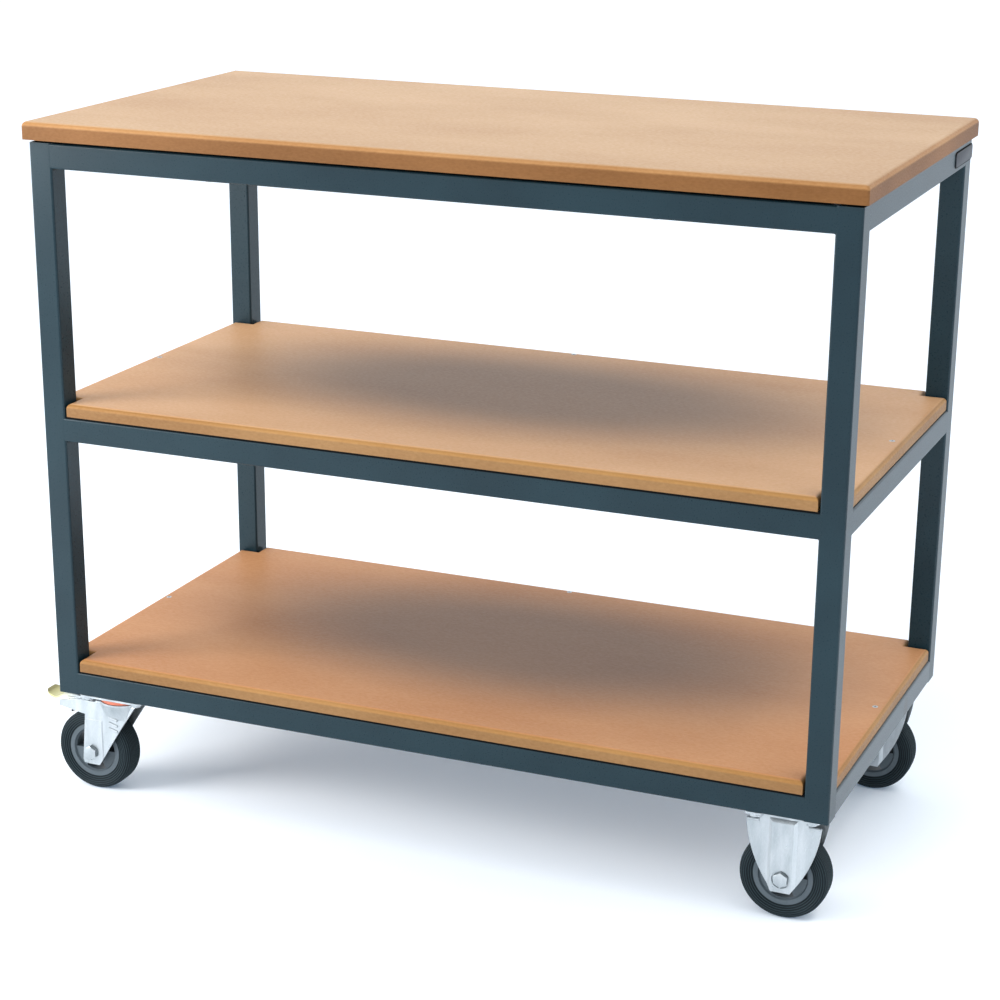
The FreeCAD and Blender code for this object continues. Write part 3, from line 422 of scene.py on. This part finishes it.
@dataclass
class SteelFrame:
    """The welded tube frame, its weld beads, and the bare plate with a dark rim round it on the right end.

    Attributes:
        tube: width of the tube.
        weld_size, weld_length, ripple_pitch, ripple: sizes of a bead and of its ripples.
        weld_rows, weld_arc_points: points along a bead and round its section.
        weld_thinnest: least value under the fourth root, so that a bead's ends keep an area.
        plate_y, plate_drop, plate_half: the plate's middle, its depth below the legs' top, its half sizes.
        plate_proud, dark_rim_proud, dark_rim_margin: how far plate and dark rim stand out, and how far the
        rim reaches past the plate.
        plate_corner, plate_points: power of the outline's superellipse, and its points.
        plate_rise, plate_inset: height of each row as a share of the whole, and how far it stands in.
    """

    tube: float = 35.0
    weld_size: float = 5.0
    weld_length: float = 29.0
    ripple_pitch: float = 2.4
    ripple: float = 0.35
    weld_rows: int = 40
    weld_arc_points: int = 7
    weld_thinnest: float = 1e-4
    plate_y: float = 248.0
    plate_drop: float = 17.0
    plate_half: tuple[float, float] = (50.0, 10.0)
    plate_proud: float = 1.8
    dark_rim_proud: float = 0.8
    dark_rim_margin: float = 1.6
    plate_corner: float = 0.18
    plate_points: int = 64
    plate_rise: tuple[float, ...] = (-0.4, 0.6, 0.9, 1.0)
    plate_inset: tuple[float, ...] = (0.0, 0.0, 0.15, 0.5)

    def __post_init__(self) -> None:
        """Read the frame's outer corners from its legs."""
        self.low, self.high = span("leg_front_left")[0], span("leg_rear_right")[1]
        self.middle, self.half = (self.low + self.high) / 2, (self.high - self.low) / 2

    def dress(self) -> None:
        """Paint the tubes, plates and gussets."""
        dress(FRAME_PAINT, "leg_", "top_rail", "middle_rail", "bottom_rail", "corner_gussets", "frame_welds")
        dress(WELDED_PAINT, "bottom_rail_right")

    def welds(self) -> bpy.types.Object:
        """Weld beads under the rails.

        A bead is a hollow quarter-round section carried along its corner; its size swells in cosine ripples
        and falls to nothing at the two ends as the fourth root of a parabola.

        Returns:
            One object with all beads.
        """
        along = np.linspace(0, 1, self.weld_rows)
        ends = (1 - (2 * along - 1) ** 2).clip(self.weld_thinnest) ** (1 / 4)
        waves = 1 + np.cos(2 * np.pi * along * self.weld_length / self.ripple_pitch)
        swell = ends * (self.weld_size - self.ripple * waves)
        angle = np.linspace(0, np.pi / 2, self.weld_arc_points)
        out = swell[:, None] * np.concatenate([[0.0], 1 - np.sin(angle)])
        down = swell[:, None] * np.concatenate([[0.0], 1 - np.cos(angle)])
        run = np.broadcast_to(((along - 0.5) * self.weld_length)[:, None], out.shape)
        inner, centre = self.half - self.tube, self.half - self.tube / 2
        grids = []
        for rail in ("middle_rail_front", "top_rail_front"):
            z = span(rail)[0][2] - down
            for sx in (-1, 1):
                for sy in (-1, 1):
                    along_y = self.middle[1] + sy * centre[1] + run
                    along_x = self.middle[0] + sx * centre[0] + run
                    grids.append(np.stack([self.middle[0] + sx * (inner[0] - out), along_y, z], -1))
                    grids.append(np.stack([along_x, self.middle[1] + sy * (inner[1] - out), z], -1))
        beads = shell(np.stack(grids), Closing.CAPPED)
        made = piece("weld_beads", [beads], FRAME_PAINT, "table")
        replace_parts(made, "frame_welds")
        return made

    def plate(self, name: str, proud: float, margin: float, finish: Finish) -> bpy.types.Object:
        """A plate on the right top rail: a superellipse outline whose rim is rounded over.

        Args:
            name: the piece's name.
            proud: how far it stands out from the rail.
            margin: how far it reaches past the bare plate's outline.
            finish: its material.

        Returns:
            The object.
        """
        turn = np.linspace(0, 2 * np.pi, self.plate_points, endpoint=False)
        round_u = np.sign(np.cos(turn)) * np.abs(np.cos(turn)) ** self.plate_corner
        round_v = np.sign(np.sin(turn)) * np.abs(np.sin(turn)) ** self.plate_corner
        rise = np.array(self.plate_rise) * proud
        inset = np.array(self.plate_inset)[:, None] - margin
        y = self.plate_y + round_u * (self.plate_half[0] - inset)
        z = self.high[2] - self.plate_drop + round_v * (self.plate_half[1] - inset)
        x = np.broadcast_to((self.high[0] + rise)[:, None], y.shape)
        rounded = shell(np.stack([x, y, z], -1)[None], Closing.CAPPED)
        return piece(name, [rounded], finish, "table")

    def bare_plate(self) -> None:
        """The plain plate and a dark rim round it."""
        self.plate("plate_dark_rim", self.dark_rim_proud, self.dark_rim_margin, BLACK_RUBBER_AND_SHADE)
        self.plate("bare_plate", self.plate_proud, 0.0, PLATE)


@dataclass
class Boards:
    """Worktop, shelves, cushion strips, sheets of painted shade in the gaps under the shelves' front edges,
    and the drives of the shelf screws.

    Attributes:
        frame: the frame that the boards lie on.
        drive_radius, drive_waist: reach of a cross, and its narrowest part as a share of that.
        drive_rows, drive_points: heights of a drive's rows over the shelf, and points of its outline.
        shade_sheet_setback, shade_sheet_back: from a shelf's edge to its shade sheet, and from the rail's
            face to the sheet's back.
        shade_sheet_end_gap, shade_sheet_thickness, shade_sheet_wrap: gap at the legs, thickness, and degrees
        round the corner.
        shade_sheet_arc_points: points of each arc.
        rail_corner: radius of the rails' corners.
    """

    frame: SteelFrame
    drive_radius: float = 2.4
    drive_waist: float = 0.3
    drive_rows: tuple[float, float] = (-0.3, 0.05)
    drive_points: int = 32
    shade_sheet_setback: float = 0.8
    shade_sheet_back: float = 10.0
    shade_sheet_end_gap: float = 0.5
    shade_sheet_thickness: float = 0.4
    shade_sheet_wrap: float = 42.0
    shade_sheet_arc_points: int = 10
    rail_corner: float = 3.0

    def dress(self) -> None:
        """Finish the boards, strips and screws."""
        dress(FIBREBOARD, "worktop")
        dress(SHELF_BOARD, "middle_shelf")
        dress(LOW_BOARD, "bottom_shelf")
        dress(BLACK_RUBBER_AND_SHADE, "cushion_strips")
        dress(ZINC, "shelf_screws", "worktop_screws")

    def drives(self) -> bpy.types.Object:
        """The screws' cross drives, drawn dark as painted shade in their recesses.

        A drive is a four-lobed polar outline: its radius follows the square of the cosine of twice the angle.

        Returns:
            One object with all drives.
        """
        turn = np.linspace(0, 2 * np.pi, self.drive_points, endpoint=False)
        lobes = self.drive_radius * (self.drive_waist + (1 - self.drive_waist) * np.cos(2 * turn) ** 2)
        u, v = lobes * np.cos(turn), lobes * np.sin(turn)
        reach = self.frame.half - self.frame.tube / 2
        centre = self.frame.middle
        grids = []
        for shelf in ("bottom_shelf", "middle_shelf"):
            top = span(shelf)[1][2]
            for x, y in ((-reach[0], 0.0), (reach[0], 0.0), (0.0, reach[1])):
                rows = [np.stack([centre[0] + x + u, centre[1] + y + v, np.full_like(turn, top + lift)], -1)
                        for lift in self.drive_rows]
                grids.append(np.stack(rows))
        crosses = shell(np.stack(grids), Closing.CAPPED)
        return piece("screw_drives", [crosses], DARK_CAGE_AND_DRIVE_SHADE, "table")

    def shade_sheets(self) -> bpy.types.Object:
        """Dark sheets of painted shade, drawn black in the gap under the shelves' front edges where that gap
        lies in shadow.

        A sheet's section fills the gap up to its front, and follows the rail's rounded corner down as an arc
        with another one outside it; the section is carried from leg to leg.

        Returns:
            One object with both sheets.
        """
        reach = self.frame.half[0] - self.frame.tube - self.shade_sheet_end_gap
        ends = self.frame.middle[0] + reach * np.linspace(-1, 1, 2)[:, None]
        face = self.frame.low[1]
        outer = self.rail_corner + self.shade_sheet_thickness
        wrap = np.radians(self.shade_sheet_wrap)
        grids = []
        for level in ("bottom", "middle"):
            under, over = span(f"{level}_rail_front")[1][2], span(f"{level}_shelf")[0]
            front, back = over[1] + self.shade_sheet_setback, face + self.shade_sheet_back
            inner_turn = np.linspace(0, wrap, self.shade_sheet_arc_points)
            top_turn = np.arcsin((face + self.rail_corner - front) / outer)
            turn = np.concatenate([inner_turn, np.linspace(wrap, top_turn, self.shade_sheet_arc_points)])
            radius = np.repeat([self.rail_corner, outer], self.shade_sheet_arc_points)
            y = np.concatenate([face + self.rail_corner - radius * np.sin(turn), [front, back, back]])
            z = np.concatenate([under - self.rail_corner + radius * np.cos(turn), [over[2], over[2], under]])
            grids.append(np.stack(np.broadcast_arrays(ends, y, z), -1))
        strips = shell(np.stack(grids), Closing.CAPPED)
        # The sheets' black is painted shade for the shadowed gap under the shelves' noses
        return piece("gap_shade_sheets", [strips], BLACK_RUBBER_AND_SHADE, "table")


@dataclass
class Wheel:
    """One wheel: the dressing of its CAD nodes and a ribbed tyre in place of the CAD tyre.

    Attributes:
        place: the caster it belongs to.
        half_width, radius: the tyre's outer sizes.
        bead, seat: (across, radius) of the section's outer bead and of its inner corner on the rim.
        shoulder_radius, tread_half, crown_drop: where the shoulder starts and ends, and the crown's fall.
        rib_pitch, rib_depth: sizes of the ribs.
        crest_power: how narrowly the painted highlight keeps to the crests.
        shoulder_points, crown_points, section_points, columns: points of the curves and round the wheel.
    """

    place: Place
    half_width: float = 18.75
    radius: float = 62.5
    bead: tuple[float, float] = (16.0, 42.0)
    seat: tuple[float, float] = (13.5, 39.0)
    shoulder_radius: float = 52.66
    tread_half: float = 11.63
    crown_drop: float = 0.36
    rib_pitch: float = 3.4
    rib_depth: float = 0.9
    crest_power: int = 3
    shoulder_points: int = 40
    crown_points: int = 20
    section_points: int = 120
    columns: int = 160

    def dress(self) -> None:
        """Finish the tyre, the rim and the bearing."""
        dress(TYRE, f"tyre_{self.place.value}")
        dress(RIM, f"rim_{self.place.value}")
        dress(DARK_CAGE_AND_DRIVE_SHADE, f"bearing_{self.place.value}")

    def section(self) -> tuple[np.ndarray, np.ndarray]:
        """Half of the tyre's section from bead to crown, as (across, radius), and its crests.

        The side is a straight line, the shoulder a quarter ellipse, the crown a shallow parabola. The line is
        divided evenly, and a whole number of cosine ribs is sunk into it along its normal.

        Returns:
            The points, and for each how near it is to a rib's crest, from 0 to 1.
        """
        side = np.array([self.bead, (self.half_width, self.shoulder_radius)])
        turn = np.linspace(0, np.pi / 2, self.shoulder_points)[1:]
        rise = self.radius - self.crown_drop - self.shoulder_radius
        shoulder = np.stack([self.tread_half + (self.half_width - self.tread_half) * np.cos(turn),
                             self.shoulder_radius + rise * np.sin(turn)], -1)
        across = np.linspace(self.tread_half, 0, self.crown_points)[1:]
        crown = np.stack([across, self.radius - self.crown_drop * (across / self.tread_half) ** 2], -1)
        line = np.concatenate([side, shoulder, crown])
        length = np.concatenate([[0.0], np.cumsum(np.linalg.norm(np.diff(line, axis=0), axis=1))])
        along = np.linspace(0, length[-1], self.section_points)
        even = np.stack([np.interp(along, length, line[:, i]) for i in range(2)], -1)
        tangent = np.gradient(even, axis=0)
        normal = np.stack([tangent[:, 1], -tangent[:, 0]], -1) / np.linalg.norm(tangent, axis=1)[:, None]
        ribs = round(length[-1] / self.rib_pitch)
        crest = 0.5 + 0.5 * np.cos(2 * np.pi * ribs * along / length[-1])
        return even - normal * (self.rib_depth * (1 - crest))[:, None], crest ** self.crest_power

    def tyre(self) -> bpy.types.Object:
        """The tyre: its section, mirrored about the middle plane, turned about the axle.

        Returns:
            The object.
        """
        low, high = span(f"tyre_{self.place.value}")
        centre = (low + high) / 2
        points, crest = self.section()
        half = np.concatenate([[self.seat, (self.seat[0], self.bead[1])], points])
        whole = np.concatenate([half, (half * [-1, 1])[::-1][1:]])
        rubbed = np.concatenate([np.zeros(2), crest])
        turn = np.linspace(0, 2 * np.pi, self.columns, endpoint=False)
        x = centre[0] + whole[:, 1] * np.cos(turn)[:, None]
        z = self.radius + whole[:, 1] * np.sin(turn)[:, None]
        y = np.broadcast_to(centre[1] + whole[:, 0], x.shape)
        grid = np.stack([x, y, z], -1).transpose(1, 0, 2)[None]
        made = piece(f"tyre_skin_{self.place.value}", [shell(grid, Closing.RING)], TYRE,
                     f"wheel_{self.place.value}",
                     np.repeat(np.concatenate([rubbed, rubbed[::-1][1:]]), self.columns))
        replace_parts(made, f"tyre_{self.place.value}")
        return made


@dataclass(frozen=True)
class Footing:
    """Where a fastener sits: the middle of its bearing face, its axis, and the direction of a corner."""

    base: np.ndarray
    axis: np.ndarray
    corner: np.ndarray


@dataclass
class Fasteners:
    """Hexagon bolts and nuts of the casters, with washer faces and chamfered corners.

    Attributes:
        columns: points round a fastener.
        face_share, chamfer_slope: round top face as a share of the flats, and the corner chamfer's slope.
        washer_share, washer_height, end_chamfer: washer face and chamfers of shanks and bores.
        axle_radius, axle_flats, axle_head, axle_nut: sizes of the axle bolts and their nuts.
        fork_outer: from a wheel's middle to the fork's outer face.
        bolt_radius, bolt_flats, bolt_head, bolt_length, bolt_spacing: sizes of the plates' bolts.
        plate_thickness: thickness of the casters' plates.
    """

    columns: int = 48
    face_share: float = 0.94
    chamfer_slope: float = 0.577
    washer_share: float = 0.96
    washer_height: float = 0.5
    end_chamfer: float = 0.8
    axle_radius: float = 6.0
    axle_flats: float = 19.0
    axle_head: float = 7.5
    axle_nut: float = 10.0
    fork_outer: float = 24.0
    bolt_radius: float = 4.0
    bolt_flats: float = 13.0
    bolt_head: float = 5.3
    bolt_length: float = 16.0
    bolt_spacing: tuple[float, float] = (80.0, 60.0)
    plate_thickness: float = 3.0

    def lathe(self, footing: Footing, rows: list[tuple]) -> np.ndarray:
        """Carry rows round an axis.

        A point is its row's radius along the spoke at its angle, and its row's height along the axis.

        Args:
            footing: where the axis starts and which way it points.
            rows: (radius, height) of each row, each a number or an array over the turn.

        Returns:
            The grid, a row for each of the rows.
        """
        turn = self.turn()[:, None]
        spoke = np.cos(turn) * footing.corner + np.sin(turn) * np.cross(footing.axis, footing.corner)
        ones = np.ones(self.columns)
        return np.stack([
            footing.base + (radius * ones)[:, None] * spoke + (height * ones)[:, None] * footing.axis
            for radius, height in rows
        ])

    def turn(self) -> np.ndarray:
        """The angles of a full turn."""
        return np.linspace(0, 2 * np.pi, self.columns, endpoint=False)

    def hexagon(self, flats: float, height: float) -> tuple[np.ndarray, np.ndarray, float]:
        """A hexagon's edge over the turn, the height of its chamfered corners and its top face's radius.

        The edge is half the width over flats divided by the cosine of the angle from the nearest flat; a cone
        from the top face cuts the corners.

        Args:
            flats: width over flats.
            height: height of the prism.

        Returns:
            The edge's radius, the height where the chamfer starts, and the round top face's radius.
        """
        edge = flats / 2 / np.cos(self.turn() % (np.pi / 3) - np.pi / 6)
        face = flats / 2 * self.face_share
        return edge, height - (edge - face) * self.chamfer_slope, face

    def head(self, footing: Footing, flats: float, height: float) -> np.ndarray:
        """A bolt's head on its washer face.

        Args:
            footing: where it sits.
            flats: width over flats.
            height: height of the head.

        Returns:
            One grid.
        """
        edge, shoulder, face = self.hexagon(flats, height)
        washer = flats / 2 * self.washer_share
        rows = [(washer, 0.0), (washer, self.washer_height), (edge, self.washer_height), (edge, shoulder),
                (face, height)]
        return self.lathe(footing, rows)

    def nut(self, footing: Footing, flats: float, height: float, bore: float) -> np.ndarray:
        """A nut, chamfered at its outer end and at its bore.

        Args:
            footing: where it sits.
            flats: width over flats.
            height: height of the nut.
            bore: radius of its bore.

        Returns:
            One grid that closes on itself.
        """
        edge, shoulder, face = self.hexagon(flats, height)
        rows = [(bore, 0.0), (edge, 0.0), (edge, shoulder), (face, height), (bore + self.end_chamfer, height),
                (bore, height - self.end_chamfer)]
        return self.lathe(footing, rows)

    def shank(self, footing: Footing, radius: float, length: float) -> np.ndarray:
        """A bolt's shank with a chamfered end, as one grid."""
        rows = [(radius, 0.0), (radius, length - self.end_chamfer), (radius - self.end_chamfer, length)]
        return self.lathe(footing, rows)

    def axle(self, place: Place) -> list[tuple[np.ndarray, list[list[int]]]]:
        """An axle bolt with its head to the front and its nut to the rear.

        Args:
            place: the caster.

        Returns:
            The shells of the head, the shank and the nut.
        """
        low, high = span(f"tyre_{place.value}")
        hub = (low + high) / 2
        front, rear = hub - Y * self.fork_outer, hub + Y * self.fork_outer
        head = self.head(Footing(front, -Y, Z), self.axle_flats, self.axle_head)
        shank = self.shank(Footing(front, Y, Z), self.axle_radius, 2 * self.fork_outer + self.axle_nut)
        nut = self.nut(Footing(rear, Y, Z), self.axle_flats, self.axle_nut, self.axle_radius)
        return [shell(head[None], Closing.CAPPED), shell(shank[None], Closing.CAPPED),
                shell(nut[None], Closing.RING)]

    def axles(self) -> None:
        """The axle bolts of all casters."""
        fixed = self.axle(Place.FRONT_RIGHT) + self.axle(Place.REAR_RIGHT)
        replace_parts(piece("fixed_axles", fixed, ZINC, "table"), "fixed_axle_bolts")
        for place in (Place.FRONT_LEFT, Place.REAR_LEFT):
            made = piece(f"swivel_axle_{place.side}", self.axle(place), ZINC, place.carrier)
            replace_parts(made, f"swivel_axle_bolt_{place.side}")

    def plate_bolts(self) -> bpy.types.Object:
        """The bolts that hold the casters' plates, four to a plate.

        Returns:
            One object with all bolts.
        """
        under = span("leg_front_left")[0][2] - self.plate_thickness
        heads, shanks = [], []
        for place in Place:
            low, high = span(f"swivel_plate_{place.side}" if place.swivels else f"fixed_bracket_{place.side}")
            for u in (-0.5, 0.5):
                for v in (-0.5, 0.5):
                    base = (low + high) / 2 + X * u * self.bolt_spacing[0] + Y * v * self.bolt_spacing[1]
                    base[2] = under
                    heads.append(self.head(Footing(base, -Z, X), self.bolt_flats, self.bolt_head))
                    shanks.append(self.shank(Footing(base, Z, X), self.bolt_radius, self.bolt_length))
        shells = [shell(np.stack(heads), Closing.CAPPED), shell(np.stack(shanks), Closing.CAPPED)]
        made = piece("plate_bolts", shells, ZINC, "table")
        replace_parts(made, "caster_bolts")
        return made


@dataclass
class Casters:
    """Plates, forks, brakes and wheels of the four casters."""

    fasteners: Fasteners = field(default_factory=Fasteners)
    wheels: list[Wheel] = field(default_factory=lambda: [Wheel(place) for place in Place])

    def dress(self) -> None:
        """Finish the casters' CAD nodes."""
        dress(ZINC, "fixed_", "swivel_", "kingpins", "race_balls", "caster_bolts", "weld_nuts",
              "leg_foot_plates")
        dress(SEAL, "dust_seal")
        dress(YELLOW_ZINC, "brake_pedal")
        dress(BLACK_RUBBER_AND_SHADE, "brake_shoe")
        for wheel in self.wheels:
            wheel.dress()

    def build(self) -> None:
        """Make the bolts, axles and tyres."""
        self.fasteners.plate_bolts()
        self.fasteners.axles()
        for wheel in self.wheels:
            wheel.tyre()


@dataclass(frozen=True)
class Panel:
    """A square soft light: its place, size and aim in metres, its power in watts and its beam in degrees."""

    name: str
    place: tuple[float, float, float]
    size: float
    power: float
    aim: tuple[float, float, float] = (0.0, 0.0, 0.55)
    beam: float = 180.0


@dataclass
class Studio:
    """Floor, soft lights and the camera at the photograph's viewing angle."""

    azimuth: float = 22.843
    elevation: float = 19.467
    roll: float = 0.403
    eye: tuple[float, float, float] = (1330.6, -3176.3, 1511.8)
    focal_px: float = 2433.6
    centre_px: tuple[float, float] = (487.3, 597.9)
    image_px: float = 1000.0
    sensor_mm: float = 36.0
    surround: str = "#F5FAFF"
    horizon_strength: float = 1.8
    zenith_strength: float = 0.93
    floor_reach: float = 30.0
    floor_colour: str = "#F8FAFC"
    floor_roughness: float = 0.6
    floor_glow: str = "#78C4FF"
    glow_strength: float = 0.11
    panels: tuple[Panel, ...] = (
        Panel("key_light", (-1.2, -0.6, 3.4), 3.0, 18.0),
        Panel("left_light", (-2.2, -1.7, 1.2), 1.2, 70.0),
        Panel("floor_light", (1.8, -0.5, 1.9), 1.2, 14.0, aim=(1.8, -0.5, 0.0), beam=70.0),
    )

    def camera(self) -> None:
        """Place the camera from its viewing angles, eye point, focal length and principal point."""
        az, el, roll = np.radians([self.azimuth, self.elevation, self.roll])
        back = Vector((np.sin(az) * np.cos(el), -np.cos(az) * np.cos(el), np.sin(el)))
        right = Vector((np.cos(az), np.sin(az), 0.0))
        up = back.cross(right)
        side = right * np.cos(roll) + up * np.sin(roll)
        top = up * np.cos(roll) - right * np.sin(roll)
        data = bpy.data.cameras.new("camera")
        data.sensor_width = self.sensor_mm
        data.lens = self.focal_px / self.image_px * self.sensor_mm
        data.shift_x = (self.image_px / 2 - self.centre_px[0]) / self.image_px
        data.shift_y = (self.centre_px[1] - self.image_px / 2) / self.image_px
        made = bpy.data.objects.new("camera", data)
        turn = Matrix((side, top, back)).transposed().to_4x4()
        made.matrix_world = Matrix.Translation(Vector(self.eye) * MM) @ turn
        bpy.context.collection.objects.link(made)
        bpy.context.scene.camera = made

    def light(self) -> None:
        """Large soft panels round the table and a white surround, brighter at its walls than overhead."""
        for panel in self.panels:
            data = bpy.data.lights.new(panel.name, "AREA")
            data.size = panel.size
            data.energy = panel.power
            data.spread = np.radians(panel.beam)
            made = bpy.data.objects.new(panel.name, data)
            made.location = panel.place
            made.rotation_euler = (Vector(panel.place) - Vector(panel.aim)).to_track_quat("Z", "Y").to_euler()
            bpy.context.collection.objects.link(made)
        world = bpy.data.worlds.new("white_surround")
        world.use_nodes = True
        tree = world.node_tree
        background = tree.nodes["Background"]
        background.inputs["Color"].default_value = linear(self.surround)
        where = add(tree, "ShaderNodeTexCoord")
        rise = add(tree, "ShaderNodeSeparateXYZ", Vector=where.outputs["Generated"]).outputs["Z"]
        strength = add(tree, "ShaderNodeMapRange", Value=rise, To_Min=self.horizon_strength,
                       To_Max=self.zenith_strength)
        tree.links.new(strength.outputs[0], background.inputs["Strength"])
        bpy.context.scene.world = world
        bpy.context.scene.view_settings.view_transform = "Standard"

    def floor(self) -> None:
        """A plain pale floor, with a faint cool glow for the light that a large white room throws back."""
        mesh = bpy.data.meshes.new("floor")
        reach = self.floor_reach
        mesh.from_pydata([(-reach, -reach, 0), (reach, -reach, 0), (reach, reach, 0), (-reach, reach, 0)], [],
                         [(0, 1, 2, 3)])
        made = bpy.data.objects.new("floor", mesh)
        bpy.context.collection.objects.link(made)
        paint = bpy.data.materials.new("pale_floor")
        paint.use_nodes = True
        shader = paint.node_tree.nodes["Principled BSDF"]
        shader.inputs["Base Color"].default_value = linear(self.floor_colour)
        shader.inputs["Roughness"].default_value = self.floor_roughness
        shader.inputs["Emission Color"].default_value = linear(self.floor_glow)
        shader.inputs["Emission Strength"].default_value = self.glow_strength
        mesh.materials.append(paint)


def main() -> None:
    """Build every class in order."""
    logging.basicConfig(level=logging.INFO)
    steel = SteelFrame()
    steel.dress()
    steel.welds()
    steel.bare_plate()
    boards = Boards(steel)
    boards.dress()
    boards.drives()
    boards.shade_sheets()
    casters = Casters()
    casters.dress()
    casters.build()
    studio = Studio()
    studio.floor()
    studio.light()
    studio.camera()


if __name__ == "__main__":
    main()
